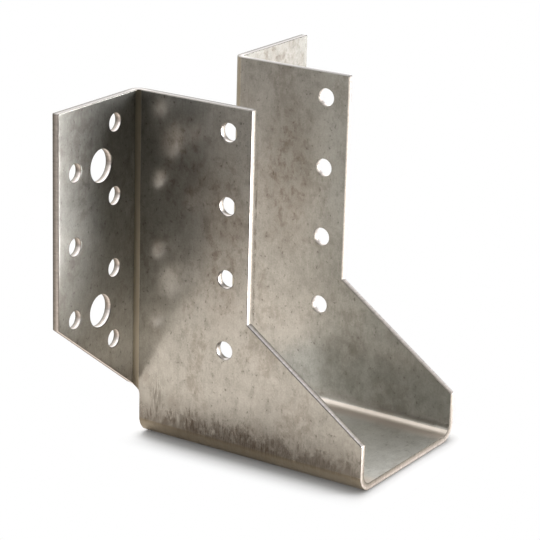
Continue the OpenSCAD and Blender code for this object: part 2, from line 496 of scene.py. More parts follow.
def blank_faces(rim, following, inner, holes):
    """Triangles over the blank, as numbers of rim and inner points: a Delaunay filling of the outlines,
    without what lies in a hole, each turned so that its area is positive."""
    flat = np.concatenate([rim, inner])
    sides = np.stack([np.arange(len(rim)), following], -1)
    made = delaunay_2d_cdt(flat.tolist(), sides.tolist(), [], FILL_INSIDE, WELD)
    if len(made[0]) != len(flat):
        raise RuntimeError(f"the blank's outline crosses itself: {len(flat)} points became {len(made[0])}")
    face = np.array(made[2])
    middle = flat[face].mean(1)
    face = face[(np.linalg.norm(middle[:, None] - holes[:, :2], axis=-1) > holes[:, 2]).all(1)]
    p, q, r = (flat[face[:, i]] for i in range(3))
    area = (q[:, 0] - p[:, 0]) * (r[:, 1] - p[:, 1]) - (q[:, 1] - p[:, 1]) * (r[:, 0] - p[:, 0])
    return np.where(area[:, None] < 0, face[:, ::-1], face)


def lay_map(mesh, flat_map, cut_map, on_cut):
    """The patterns' own map, in metres: the blank for the faces, and the run along the edge for a bare
    cut."""
    vertex = np.zeros(len(mesh.loops), int)
    mesh.loops.foreach_get("vertex_index", vertex)
    sides = np.zeros(len(mesh.polygons), int)
    mesh.polygons.foreach_get("loop_total", sides)
    places = np.where(np.repeat(on_cut, sides)[:, None], cut_map[vertex], flat_map[vertex])
    mesh.uv_layers.new(name="blank").uv.foreach_set("vector", places.astype(np.float32).ravel())


def sheet_mesh(sheet, cut):
    """The folded sheet as one closed mesh. The blank is filled with triangles once, for both faces, and the
    edge's profile is carried along every outline between them. Then each point goes where the folds carry
    it."""
    blank = blank_of(sheet)
    seat_lines = blank.seat_flat + blank.seat_mid * np.linspace(0, QUARTER, SEAT_LINES)
    lines = (np.concatenate([-seat_lines[::-1], seat_lines]),
             blank.fold_d - blank.flange_mid * np.linspace(0, QUARTER, FLANGE_LINES))
    holes = hole_places(blank)
    corners, radii = outline_corners(sheet, blank, cut)
    rim, inward, following = blank_rim(corners, radii, holes, lines)
    inner = inner_points(blank, corners, holes, lines)
    face = blank_faces(rim, following, inner, holes)

    inset, offset, lean, passed = edge_profile(blank, cut).T
    rows, size, extra = len(inset), len(rim), len(inner)
    band = rim + inset[:, None, None] * inward
    s = np.concatenate([band[..., 0].ravel(), inner[:, 0], inner[:, 0]])
    d = np.concatenate([band[..., 1].ravel(), inner[:, 1], inner[:, 1]])
    b = np.concatenate([np.repeat(offset, size), np.full(extra, blank.t / 2), np.full(extra, -blank.t / 2)])
    lean = np.concatenate([np.repeat(lean, size), np.zeros(extra), np.full(extra, math.pi)])
    passed = np.concatenate([np.repeat(passed, size), np.zeros(extra), np.ones(extra)])
    outward = -np.concatenate([np.tile(inward, (rows, 1)), np.zeros((2 * extra, 2))])
    along_s, along_d, normal = directions(blank, s, d)
    sideways = along_s * outward[:, :1] + along_d * outward[:, 1:]
    normals = normal * np.cos(lean)[:, None] + sideways * np.sin(lean)[:, None]
    normals /= np.linalg.norm(normals, axis=1, keepdims=True)

    last_row = (rows - 1) * size
    outer_side = np.where(face < size, face, face + last_row)
    inner_side = np.where(face < size, face + last_row, face + last_row + extra)[:, ::-1]
    row_start = np.arange(rows - 1)[:, None] * size
    here = (row_start + np.arange(size)).ravel()
    beside = (row_start + following).ravel()
    walls = np.stack([here + size, beside + size, beside, here], -1)
    bare_walls = np.repeat(np.arange(rows - 1) >= FIRST_BARE_ROW, size)
    on_cut = np.concatenate([np.zeros(2 * len(face), bool), bare_walls])

    mesh = bpy.data.meshes.new("hanger_sheet")
    mesh.from_pydata(folded(blank, s, d, b), [], outer_side.tolist() + inner_side.tolist() + walls.tolist())
    mesh.polygons.foreach_set("use_smooth", np.ones(len(mesh.polygons), bool))
    mesh.polygons.foreach_set("material_index", on_cut.astype(int))
    step = np.linalg.norm(rim[following] - rim, axis=1)
    run = np.concatenate([np.tile(np.cumsum(step) - step, rows), np.zeros(2 * extra)])
    flat_map = np.stack([s, d + np.where(b > 0, 0.0, INNER_SHIFT)], -1)
    lay_map(mesh, flat_map, np.stack([run, b], -1), on_cut)
    seat_turn, flange_turn = turns(blank, s, d)
    facts = {
        "cut": passed,
        "height": np.abs(s) - blank.cheek_s,
        "depth": d,
        "outer": (b > 0).astype(float),
        "seat_bend": seat_turn / QUARTER,
        "flange_bend": flange_turn / QUARTER,
    }
    for name, values in facts.items():
        mesh.attributes.new(name, "FLOAT", "POINT").data.foreach_set("value", values.astype(np.float32))
    mesh.normals_split_custom_set_from_vertices(normals)
    if mesh.validate(clean_customdata=False):
        raise RuntimeError("the sheet's mesh had faulty faces")
    return mesh


# Materials

# The coat's patterns. Each has a size in mm, a stretch along the sheet's height and across it, the shift of
# its origin in metres, detail, roughness, distortion, and the part of the noise's range that becomes 0 to 1.
# Grain, hair and pins are finer on the real coat, and are drawn as coarse as they need to be to show.
ZINC_PATTERNS = (
    ("cloud", 22, (1, 1), 0.30, 2, 0.50, 0.0, 0.36, 0.64),
    ("bloom", 6, (1, 1), 0.07, 4, 0.62, 0.4, 0.30, 0.70),
    ("mottle", 2.4, (0.75, 1), 0.11, 4, 0.68, 0.3, 0.34, 0.66),
    ("streak", 0.9, (0.22, 1), 0.17, 3, 0.62, 0.0, 0.32, 0.68),
    ("grain", 0.5, (1, 1), 0.23, 2, 0.50, 0.0, 0.30, 0.70),
    ("patch", 13, (1, 1), 0.90, 2, 0.50, 0.0, 0.36, 0.64),
    ("ragged", 1.3, (0.5, 1), 0.20, 6, 0.78, 0.0, 0.34, 0.66),
    ("drip", 1.0, (0.22, 1), 0.52, 3, 0.60, 0.0, 0.46, 0.62),
    ("hair", 0.45, (0.1, 1), 0.58, 2, 0.60, 0.0, 0.40, 0.62),
    ("tarnish", 11, (0.7, 1), 0.63, 3, 0.60, 0.5, 0.42, 0.68),
    ("dirt", 2.6, (0.85, 1), 0.77, 5, 0.70, 0.2, 0.0, 1.0),
    ("wave", 26, (1, 1), 0.80, 1, 0.50, 0.0, 0.0, 1.0),
    ("skin", 1.3, (1, 1), 0.41, 2, 0.60, 0.0, 0.0, 1.0),
    ("pin", 0.9, (0.8, 1), 0.47, 1, 0.50, 0.0, 0.58, 0.74),
)

# How much each pattern counts in the coat's bloom, and the part of the sum that runs from dull to bright
ZINC_BLOOM = (("cloud", 0.22), ("bloom", 0.20), ("mottle", 0.22), ("streak", 0.12), ("grain", 0.24))
BLOOM_DULL, BLOOM_BRIGHT = 0.12, 0.88

# Spots: the middle on the blank's map, where an inner face's depths are 1000 more, and the reach up the sheet
# and across it, all in mm. A spot fades between these shares of its reach.
ZINC_SPOTS = {
    "tarnish_spots": (
        (88, 1019, 28, 11), (114, -21, 4, 6), (111, -30, 6, 3), (112, -17, 24, 18), (-84, 30, 32, 10),
        (-100, 17, 20, 12)),
    "foot_spots": ((31, 1058, 18, 32), (35, 1041, 15, 16)),
    "ink_spots": (
        (-27, 21, 9, 6), (-27, 31, 11, 5), (-27, 38, 9, 5), (-27, 48, 8, 6), (-27, 61, 7, 7),
        (-31, 71, 10, 4), (27, 40, 9, 26)),
}
SPOT_EDGE, SPOT_FULL = 1.2, 0.2

# What lifts the smudges above a ragged noise: broad patches, their spots, and less with each metre of height.
# They begin where the sum passes the start.
INK_SHARES = (("patch", 0.10), ("ink_spots", 0.13), ("height", -0.036 / MM))
INK_START = 0.46
# Depth from the header of the line that the folding tool left on a cheek's inner face
PRESS_LINE = 9.0 * MM

# Where the stains and the painted light and shade lie: each is the product of these ranges of a pattern, or
# of a fact of the mesh
ZINC_MASKS = {
    "speck": (("mottle_raw", 0.66, 0.74, 0, 1), ("grain", 0.35, 0.65, 0.2, 1)),
    "pits": (("pin", 0, 1, 0, 1), ("dirt_raw", 0.47, 0.60, 0, 1)),
    "dirt": (("dirt_raw", 0.50, 0.68, 0, 1), ("grain", 0, 1, 0.55, 1)),
    "weathered": (("tarnish", 0.0, 1.0, 0, 1), ("mottle", 0.9, 0.1, 0.3, 1)),
    "handled": (("tarnish_spots", 0, 1, 0, 1), ("mottle", 0, 1, 0.35, 1), ("dirt_raw", 0.42, 0.6, 0.5, 1)),
    "clouded": (("foot_spots", 0, 1, 0, 1), ("bloom", 1, 0, 0.75, 1)),
    "ink": (
        ("ink_level", -0.03, 0.16, 0, 1), ("hair", 0, 1, 0.55, 1), ("height", -1.5 * MM, 0.5 * MM, 0.2, 1),
        ("depth", 5 * MM, 14 * MM, 0.5, 1), ("depth", 74 * MM, 44 * MM, 0.8, 1), ("outer", 0, 1, 0, 1)),
    "drips": (
        ("drip", 0, 1, 0, 1), ("ragged", 0.1, 0.8, 0.2, 1), ("height", 6.5 * MM, 1.5 * MM, 0, 1),
        ("height", -1 * MM, 0.5 * MM, 0, 1), ("depth", 68 * MM, 44 * MM, 0, 1), ("outer", 0, 1, 0, 1)),
    "soot": (
        ("height", 13 * MM, -2 * MM, 0, 1), ("height", -1.2 * MM, -0.2 * MM, 0, 1), ("bloom", 0, 1, 0.6, 1),
        ("outer", 0, 1, 0, 1)),
    "rubbed_out": (("seat_bend", 0.02, 0.2, 0, 1), ("seat_bend", 1.0, 0.93, 0, 1), ("outer", 0, 1, 0, 1)),
    # Inside the seat's folds: the press tool's rubbing, with a painted sheen in its colour
    "rubbed_in_and_sheen": (("seat_bend", 0.02, 0.12, 0, 1), ("seat_bend", 0.62, 0.5, 0, 1), ("outer", 1, 0, 0, 1)),
    # Painted light: the seat's upper face is made lighter and rougher, less towards its front
    "seat_painted_light": (
        ("seat_bend", 0.2, 0, 0, 1), ("outer", 1, 0, 0, 1), ("bloom", 0, 1, 0.7, 1),
        ("depth", 72 * MM, 50 * MM, 0.5, 1)),
    # Painted sheen: a lighter, rougher band on the seat beside its folds
    "seat_painted_sheen": (
        ("height", -11.5 * MM, -6.5 * MM, 0, 1), ("seat_bend", 0.2, 0, 0, 1), ("outer", 1, 0, 0, 1)),
    # Painted shade: darker in the upper part of the seat folds' inner corner
    "crease_painted_shade": (("seat_bend", 0.52, 0.66, 0, 1), ("seat_bend", 1.0, 0.72, 0.25, 1), ("outer", 1, 0, 0, 1)),
    # Along the flange folds: the press tool's marks and painted shade
    "folded": (("flange_bend", 0.03, 0.2, 0, 1), ("flange_bend", 1.0, 0.92, 0, 1)),
    "foot": (("height", 22 * MM, 7 * MM, 0, 1), ("depth", 5.5 * MM, 2 * MM, 0, 1), ("mottle", 0, 1, 0.4, 1)),
    "press_line": (
        ("line", 0.45 * MM, 0.15 * MM, 0, 1), ("streak", 0.3, 0.8, 0.1, 1), ("outer", 1, 0, 0, 1),
        ("height", 5 * MM, 12 * MM, 0, 1), ("height", 75 * MM, 50 * MM, 0, 1)),
    "scratches": (
        ("depth", 6.5 * MM, 8.5 * MM, 0, 1), ("depth", 11.5 * MM, 9.5 * MM, 0, 1),
        ("height", 1 * MM, 5 * MM, 0, 1), ("height", 16 * MM, 8 * MM, 0, 1), ("hair", 0.1, 0.9, 0, 1),
        ("outer", 0, 1, 0, 1)),
}

# Stains and painted light and shade in laying order: the mask, the finish's colour, its share, and how much
# rougher
ZINC_STAINS_AND_PAINTED_LIGHT = (
    ("speck", "smudge", 0.4, 0.0),
    ("pits", "smudge", 0.5, 0.0),
    ("weathered", "tarnish", 0.26, 0.0),
    ("handled", "tarnish", 0.6, 0.02),
    ("clouded", "dirt", 0.46, 0.0),
    ("dirt", "dirt", 0.24, 0.0),
    ("soot", "smudge", 0.58, 0.03),
    ("rubbed_out", "bend_outer", 0.75, 0.12),
    # These five paint light and shade: a lighter seat, a sheen beside and inside its folds, shade in their
    # inner corners and along the flange folds
    ("seat_painted_light", "zinc_light", 0.6, 0.21),
    ("seat_painted_sheen", "bend_inner_sheen", 0.9, 0.3),
    ("rubbed_in_and_sheen", "bend_inner_sheen", 0.8, 0.1),
    ("crease_painted_shade", "smudge", 0.5, 0.0),
    ("folded", "fold_wear_and_shade", 0.85, 0.14),
    ("foot", "smudge", 0.45, 0.06),
    ("ink", "smudge", 0.8, 0.04),
    ("drips", "smudge", 0.6, 0.04),
    ("scratches", "smudge", 0.45, 0.1),
    ("press_line", "smudge", 0.6, 0.05),
)

# The coat's unevenness: the pattern, the bump's strength, and its height. The last is too fine to see as
# relief and only breaks up the reflections.
ZINC_BUMPS = (("wave_raw", 0.2, 0.35 * MM), ("skin_raw", 0.3, 0.006 * MM))

# The cut's grain: its size, its stretch through the sheet, how far it moves the bands' border, its bump's
# strength and height
CUT_GRAIN, CUT_STRETCH, CUT_SHIFT, CUT_BUMP, CUT_BUMP_HEIGHT = 0.9 * MM, 0.25, 0.3, 0.5, 0.06 * MM
# Depth from the header of an upright fold's middle, along the top edges
FOLD_DEPTH = 1.5 * MM
# How the cut's look follows a field: the field, where the change begins and ends, and the values there
CUT_RANGES = {
    "torn": ("past_burnish", 0.10, 0.22, 0.0, 1.0),
    "rough": ("torn", 0.0, 1.0, 0.34, 0.50),
    "shade": ("grain", 0.36, 0.64, 0.70, 1.03),
    "top": ("height", CAD_HIGH.z - 0.5 * MM, CAD_HIGH.z - 0.2 * MM, 0.0, 1.0),
    "from_fold": ("off_fold", 1.5 * MM, 5 * MM, 0.60, 0.39),
    "to_front": ("depth", 8 * MM, 36 * MM, 1.0, 0.7),
    "far_edge": ("cut", 0.5, 0.9, 0.0, 0.75),
}
# Shares of the thickness between which the rolled-over corner ends
ROLL_ENDS = (0.02, 0.12)

# Numbers of a Mix node's sockets: its factor, then for colours the two colours and the result, and for
# plain values the two values
FACTOR, UNDER, OVER, MIXED = 0, 6, 7, 2
UNDER_VALUE, OVER_VALUE = 2, 3


def add(tree, kind, inputs=None, out=0, **settings):
    """Adds a node and gives one of its outputs, by name or number, or nothing if it has none. Settings are
    its own properties. Inputs maps a socket's name or number to a value, or to the socket that feeds it."""
    node = tree.nodes.new(kind)
    for name, value in settings.items():
        setattr(node, name, value)
    for key, value in (inputs or {}).items():
        socket = node.inputs[key]
        if isinstance(value, bpy.types.NodeSocket):
            tree.links.new(value, socket)
        else:
            socket.default_value = value
    return node.outputs[out] if len(node.outputs) else None


def new_material(name):
    """A material with an empty node tree."""
    material = bpy.data.materials.new(name)
    material.use_nodes = True
    material.node_tree.nodes.clear()
    return material, material.node_tree


def zinc_fields(tree):
    """What the stains and the painted light and shade follow, by name: each noise, as it is and brought to 0
    to 1, the facts of the mesh, the spots, the smudges' level and the distance from the press line. Of
    several spots the strongest counts."""
    flat = add(tree, "ShaderNodeUVMap", uv_map="blank")
    field = {}
    for name, size, stretch, shift, detail, rough, twist, low, high in ZINC_PATTERNS:
        place = add(tree, "ShaderNodeMapping", {
            "Vector": flat, "Scale": (*stretch, 1), "Location": (shift, shift / 2, 0)})
        noise = add(tree, "ShaderNodeTexNoise", {
            "Vector": place, "Scale": 1 / (size * MM), "Detail": detail, "Roughness": rough,
            "Distortion": twist})
        field[name + "_raw"] = noise
        field[name] = add(tree, "ShaderNodeMapRange", {
            "Value": noise, "From Min": low, "From Max": high}, interpolation_type="SMOOTHSTEP")
    for name in ("height", "depth", "outer", "seat_bend", "flange_bend"):
        field[name] = add(tree, "ShaderNodeAttribute", out="Fac", attribute_name=name)
    for name, places in ZINC_SPOTS.items():
        field[name] = 0.0
        for middle_s, middle_d, reach_s, reach_d in places:
            off = add(tree, "ShaderNodeVectorMath", {
                0: flat, 1: (middle_s * MM, middle_d * MM, 0)}, operation="SUBTRACT")
            off = add(tree, "ShaderNodeVectorMath", {
                0: off, 1: (1 / (reach_s * MM), 1 / (reach_d * MM), 0)}, operation="MULTIPLY")
            off = add(tree, "ShaderNodeVectorMath", {0: off}, out="Value", operation="LENGTH")
            spot = add(tree, "ShaderNodeMapRange", {
                "Value": off, "From Min": SPOT_EDGE, "From Max": SPOT_FULL}, interpolation_type="SMOOTHSTEP")
            field[name] = add(tree, "ShaderNodeMath", {0: spot, 1: field[name]}, operation="MAXIMUM")
    level = field["ragged_raw"]
    for name, share in INK_SHARES:
        level = add(tree, "ShaderNodeMath", {0: field[name], 1: share, 2: level}, operation="MULTIPLY_ADD")
    field["ink_level"] = add(tree, "ShaderNodeMath", {0: level, 1: INK_START}, operation="SUBTRACT")
    line = add(tree, "ShaderNodeMath", {0: field["depth"], 1: PRESS_LINE}, operation="SUBTRACT")
    field["line"] = add(tree, "ShaderNodeMath", {0: line}, operation="ABSOLUTE")
    return field


def zinc_coat(finish):
    """Hot-dip galvanised steel sheet with a small spangle, rolled smooth after the bath. To the eye it is a
    satin grey metal: flat crystals mirror the surroundings softly, and tilted ones spread a haze round that.
    It has a cloudy bloom a few millimetres wide, finer streaks up the sheet, dark pits, khaki bends where the
    press tool rubbed, and dark brown smudges with ragged tops above them. Light and shade are painted into
    its colour too: a lighter seat, a painted sheen beside and inside the seat's folds, and painted shade in
    those folds' inner corners and along the flange folds."""
    material, tree = new_material("hot_dip_galvanised_steel")
    field = zinc_fields(tree)
    bloom = 0.0
    for name, share in ZINC_BLOOM:
        bloom = add(tree, "ShaderNodeMath", {0: field[name], 1: share, 2: bloom}, operation="MULTIPLY_ADD")
    bloom = add(tree, "ShaderNodeMapRange", {
        "Value": bloom, "From Min": BLOOM_DULL, "From Max": BLOOM_BRIGHT})
    colour = add(tree, "ShaderNodeMix", {
        FACTOR: bloom, UNDER: (*finish.zinc_dark, 1), OVER: (*finish.zinc_light, 1)}, MIXED, data_type="RGBA")
    rough = add(tree, "ShaderNodeMapRange", {
        "Value": field["cloud"], "To Min": finish.gloss_high, "To Max": finish.gloss_low})
    mask_of = {}
    for name, ranges in ZINC_MASKS.items():
        mask = 1.0
        for source, low, high, at_low, at_high in ranges:
            part = add(tree, "ShaderNodeMapRange", {
                "Value": field[source], "From Min": low, "From Max": high,
                "To Min": at_low, "To Max": at_high}, interpolation_type="SMOOTHSTEP")
            mask = add(tree, "ShaderNodeMath", {0: part, 1: mask}, operation="MULTIPLY")
        mask_of[name] = mask
    for name, tint, share, rougher in ZINC_STAINS_AND_PAINTED_LIGHT:
        there = add(tree, "ShaderNodeMath", {0: mask_of[name], 1: share}, operation="MULTIPLY")
        colour = add(tree, "ShaderNodeMix", {
            FACTOR: there, UNDER: colour, OVER: (*getattr(finish, tint), 1)}, MIXED, data_type="RGBA")
        rough = add(tree, "ShaderNodeMath", {0: mask_of[name], 1: rougher, 2: rough}, operation="MULTIPLY_ADD")

    normal = {}
    for name, strength, height in ZINC_BUMPS:
        bump = add(tree, "ShaderNodeBump", {
            "Height": field[name], "Strength": strength, "Distance": height, **normal})
        normal = {"Normal": bump}
    core = add(tree, "ShaderNodeBsdfPrincipled", {
        "Base Color": colour, "Metallic": 1.0, "Roughness": rough, **normal})
    haze = add(tree, "ShaderNodeBsdfPrincipled", {
        "Base Color": colour, "Metallic": 1.0, "Roughness": finish.haze_rough, **normal})
    both = add(tree, "ShaderNodeMixShader", {0: finish.haze, 1: core, 2: haze})
    add(tree, "ShaderNodeOutputMaterial", {"Surface": both})
    return material


def sheared_steel(finish, cut):
    """Bare steel where the shear or punch went through. To the eye it is a smooth burnished band, bright as
    polished steel, then a torn band, dull, grained through the sheet and darker towards its far edge. Its
    rolled-over corner carries a painted shadow line, and the edges that face up are darker, least near the
    fold and most towards the front."""
    material, tree = new_material("sheared_steel")
    run = add(tree, "ShaderNodeUVMap", uv_map="blank")
    place = add(tree, "ShaderNodeMapping", {"Vector": run, "Scale": (1, CUT_STRETCH, 1)})
    field = {}
    for name in ("cut", "depth"):
        field[name] = add(tree, "ShaderNodeAttribute", out="Fac", attribute_name=name)
    field["grain"] = add(tree, "ShaderNodeTexNoise", {
        "Vector": place, "Scale": 1 / CUT_GRAIN, "Detail": 4.0, "Roughness": 0.65})
    place = add(tree, "ShaderNodeTexCoord", out="Object")
    field["height"] = add(tree, "ShaderNodeSeparateXYZ", {0: place}, "Z")
    off = add(tree, "ShaderNodeMath", {0: field["depth"], 1: FOLD_DEPTH}, operation="SUBTRACT")
    field["off_fold"] = add(tree, "ShaderNodeMath", {0: off}, operation="ABSOLUTE")
    past = add(tree, "ShaderNodeMath", {
        0: field["grain"], 1: CUT_SHIFT, 2: field["cut"]}, operation="MULTIPLY_ADD")
    field["past_burnish"] = add(tree, "ShaderNodeMath", {0: past, 1: cut.burnished}, operation="SUBTRACT")
    for name, (source, low, high, at_low, at_high) in CUT_RANGES.items():
        field[name] = add(tree, "ShaderNodeMapRange", {
            "Value": field[source], "From Min": low, "From Max": high, "To Min": at_low, "To Max": at_high})

    burnish = (*finish.burnish, 1)
    colour = add(tree, "ShaderNodeMix", {
        FACTOR: field["torn"], UNDER: burnish, OVER: (*finish.tear, 1)}, MIXED, data_type="RGBA")
    colour = add(tree, "ShaderNodeMix", {
        FACTOR: 1.0, UNDER: colour, OVER: field["shade"]}, MIXED, data_type="RGBA", blend_type="MULTIPLY")
    # The edges that face up are darker, least near the fold and most towards the front
    top_edge_tone = add(tree, "ShaderNodeMath", {0: field["to_front"], 1: field["from_fold"]}, operation="MULTIPLY")
    dull = add(tree, "ShaderNodeMix", {
        FACTOR: 1.0, UNDER: burnish, OVER: top_edge_tone}, MIXED, data_type="RGBA", blend_type="MULTIPLY")
    colour = add(tree, "ShaderNodeMix", {
        FACTOR: field["top"], UNDER: colour, OVER: dull}, MIXED, data_type="RGBA")
    # Painted shade: the dark line along the rolled-over corner
    past_roll = add(tree, "ShaderNodeMapRange", {
        "Value": field["cut"], "From Min": ROLL_ENDS[0], "From Max": ROLL_ENDS[1]},
        interpolation_type="SMOOTHSTEP")
    colour = add(tree, "ShaderNodeMix", {
        FACTOR: past_roll, UNDER: (*finish.rolled, 1), OVER: colour}, MIXED, data_type="RGBA")
    colour = add(tree, "ShaderNodeMix", {
        FACTOR: field["far_edge"], UNDER: colour, OVER: (*finish.dirt, 1)}, MIXED, data_type="RGBA")
    bump = add(tree, "ShaderNodeBump", {
        "Height": field["grain"], "Strength": CUT_BUMP, "Distance": CUT_BUMP_HEIGHT})
    shader = add(tree, "ShaderNodeBsdfPrincipled", {
        "Base Color": colour, "Metallic": 1.0, "Roughness": field["rough"], "Normal": bump})
    add(tree, "ShaderNodeOutputMaterial", {"Surface": shader})
    return material


# Studio

# How the floor's look in the metal changes along it: a level direction, the places in metres along it, from
# the middle of the hanger, where the change begins and ends, and the values there
FLOOR_RAMPS = {
    "right": ((1, 0, 0), -0.05, 0.12, 0.0, 1.0),
    "end": ((-0.5, -0.87, 0), 0.045, 0.115, 1.0, 0.12),
    "back": ((0.4, 0.92, 0), 0.05, 0.30, 1.0, 0.75),
    "front": ((0, -1, 0), 0.02, 0.11, 0.0, 1.0),
    "dimmest": ((0.65, 0.76, 0), -0.03, 0.01, 0.2, 0.5),
    "aside": ((-0.707, -0.707, 0), -0.005, 0.03, 0.0, 1.0),
    "ahead": ((0.914, 0.407, 0), -0.060, -0.020, 0.0, 1.0),
    "clear": ((0, -1, 0), 0.050, 0.100, 0.06, 1.0),
}
# The part of the floor that the metal shows brightest: its middle, and the distances between which it ends
LIT_MIDDLE, LIT_FULL, LIT_END = (0.12, -0.06, 0), 0.20, 0.47
# The paper's tones in the metal: on the left at the back, on the left in front, and on the right
LEFT_BACK, LEFT_FRONT, RIGHT = "#EADFD3", "#E7E5D7", "#F1EFED"
# The patch of strong light on it: its middle, the distances between which it ends, its strength and colour
POOL_MIDDLE, POOL_FULL, POOL_END, POOL_STRENGTH, POOL_TONE = (0.11, -0.19, 0), 0.08, 0.24, 14.0, "#FFFCF9"
# Shade close to the metal: its reach and its samples, the shares of open sky where it is deepest and where
# it ends, and the paper's grey at both
SHADE_REACH, SHADE_SAMPLES, SHADE_SKY, SHADE_GREY = 5 * MM, 6, (0.45, 0.97), (0.55, 0.94)
# How far outside the seat's outline lit paper turns to plain white for the camera
PAPER_END, WHITE_FULL = -2 * MM, 10 * MM
# The floor lies this far under the seat, so that the two faces don't fight
FLOOR_DROP = 0.05 * MM

# The room's light: a direction, the shares of the way towards it where the change begins and ends, and the
# values there. The two parts are multiplied.
ROOM_RAMPS = (
    ((0.45, 0.80, 0.36), -0.7, 0.8, 0.02, 2.1),
    ((0, 1, 0), -0.35, 0.35, 0.2, 1.0),
)
WHITE = (1, 1, 1, 1)

# The camera's sensor in millimetres, and the range it sees in metres
SENSOR, CLIP = 36, (0.01, 100)


def mirrored_floor(tree, place, ramp):
    """The paper as the metal shows it: a tone for the side it lies on, times a brightness that falls off
    with the distance from the lit middle, in front of the camera and at the back."""
    far = add(tree, "ShaderNodeVectorMath", {0: place, 1: LIT_MIDDLE}, "Value", operation="DISTANCE")
    fade = add(tree, "ShaderNodeMapRange", {
        "Value": far, "From Min": LIT_FULL, "From Max": LIT_END, "To Min": 1.0, "To Max": ramp["dimmest"]},
        interpolation_type="SMOOTHSTEP")
    for factor in (ramp["end"], ramp["back"]):
        fade = add(tree, "ShaderNodeMath", {0: fade, 1: factor}, operation="MULTIPLY")
    left = add(tree, "ShaderNodeMix", {
        FACTOR: ramp["front"], UNDER: (*linear(LEFT_BACK), 1), OVER: (*linear(LEFT_FRONT), 1)},
        MIXED, data_type="RGBA")
    tone = add(tree, "ShaderNodeMix", {
        FACTOR: ramp["right"], UNDER: left, OVER: (*linear(RIGHT), 1)}, MIXED, data_type="RGBA")
    return add(tree, "ShaderNodeMix", {
        FACTOR: 1.0, UNDER: tone, OVER: fade}, MIXED, data_type="RGBA", blend_type="MULTIPLY")


def past_outline(tree, place, sheet):
    """0 on the floor under the hanger and just round it, 1 further out: from the distance to the rectangle
    of the seat and cheeks, which is the length of what the place's size leaves over it, in x and y."""
    foot = Vector((sheet.joist_width / 2 + sheet.thickness, CAD_HIGH.y, 1))
    out = add(tree, "ShaderNodeVectorMath", {0: place}, operation="ABSOLUTE")
    out = add(tree, "ShaderNodeVectorMath", {0: out, 1: foot}, operation="SUBTRACT")
    out = add(tree, "ShaderNodeVectorMath", {0: out, 1: (0, 0, 0)}, operation="MAXIMUM")
    out = add(tree, "ShaderNodeVectorMath", {0: out}, "Value", operation="LENGTH")
    return add(tree, "ShaderNodeMapRange", {
        "Value": out, "From Min": PAPER_END, "From Max": WHITE_FULL}, interpolation_type="SMOOTHSTEP")


def pale_floor(sheet):
    """Matt white paper. The camera sees it lit and shaded, and further out as plain white. In the metal it is
    brightest to the right, where the light comes from, and ends in the dark room in front of the camera."""
    material, tree = new_material("matt_white_paper")
    rays = add(tree, "ShaderNodeLightPath").node.outputs
    place = add(tree, "ShaderNodeTexCoord", out="Object")
    ramp = {}
    for name, (direction, near, far, at_near, at_far) in FLOOR_RAMPS.items():
        along = add(tree, "ShaderNodeVectorMath", {0: place, 1: direction}, "Value", operation="DOT_PRODUCT")
        ramp[name] = add(tree, "ShaderNodeMapRange", {
            "Value": along, "From Min": near, "From Max": far, "To Min": at_near, "To Max": at_far},
            interpolation_type="SMOOTHSTEP")
    sky = add(tree, "ShaderNodeAmbientOcclusion", {"Distance": SHADE_REACH}, "AO", samples=SHADE_SAMPLES)
    shaded = add(tree, "ShaderNodeMapRange", {
        "Value": sky, "From Min": SHADE_SKY[0], "From Max": SHADE_SKY[1],
        "To Min": SHADE_GREY[0], "To Max": SHADE_GREY[1]})
    shine = add(tree, "ShaderNodeMix", {
        FACTOR: rays["Is Glossy Ray"], UNDER: shaded, OVER: mirrored_floor(tree, place, ramp)},
        MIXED, data_type="RGBA")
    paper = add(tree, "ShaderNodeBsdfDiffuse", {"Color": shine})
    plain = add(tree, "ShaderNodeEmission", {"Color": WHITE, "Strength": 1.0})
    seen = add(tree, "ShaderNodeMath", {
        0: past_outline(tree, place, sheet), 1: rays["Is Camera Ray"]}, operation="MULTIPLY")
    surface = add(tree, "ShaderNodeMixShader", {0: seen, 1: paper, 2: plain})
    off = add(tree, "ShaderNodeVectorMath", {0: place, 1: POOL_MIDDLE}, "Value", operation="DISTANCE")
    pool = add(tree, "ShaderNodeMapRange", {
        "Value": off, "From Min": POOL_FULL, "From Max": POOL_END, "To Min": POOL_STRENGTH, "To Max": 0.0},
        interpolation_type="SMOOTHSTEP")
    for factor in (ramp["aside"], ramp["ahead"], ramp["clear"], rays["Is Glossy Ray"]):
        pool = add(tree, "ShaderNodeMath", {0: pool, 1: factor}, operation="MULTIPLY")
    patch = add(tree, "ShaderNodeEmission", {"Color": (*linear(POOL_TONE), 1), "Strength": pool})
    surface = add(tree, "ShaderNodeAddShader", {0: surface, 1: patch})
    add(tree, "ShaderNodeOutputMaterial", {"Surface": surface})
    return material


def room(world, studio):
    """Plain white to the camera. To everything else a soft gradient, brightest behind the hanger on the
    right and dim round the camera, by the cosine of the angle to each of the ramps' directions."""
    world.use_nodes = True
    tree = world.node_tree
    tree.nodes.clear()
    rays = add(tree, "ShaderNodeLightPath").node.outputs
    way = add(tree, "ShaderNodeTexCoord", out="Generated")
    light = studio.room_light
    for direction, low, high, at_low, at_high in ROOM_RAMPS:
        share = add(tree, "ShaderNodeVectorMath", {
            0: way, 1: Vector(direction).normalized()}, "Value", operation="DOT_PRODUCT")
        part = add(tree, "ShaderNodeMapRange", {
            "Value": share, "From Min": low, "From Max": high, "To Min": at_low, "To Max": at_high},
            interpolation_type="SMOOTHSTEP")
        light = add(tree, "ShaderNodeMath", {0: part, 1: light}, operation="MULTIPLY")
    strength = add(tree, "ShaderNodeMix", {
        FACTOR: rays["Is Camera Ray"], UNDER_VALUE: light, OVER_VALUE: 1.0})
    back = add(tree, "ShaderNodeBackground", {"Color": WHITE, "Strength": strength})
    add(tree, "ShaderNodeOutputWorld", {"Surface": back})


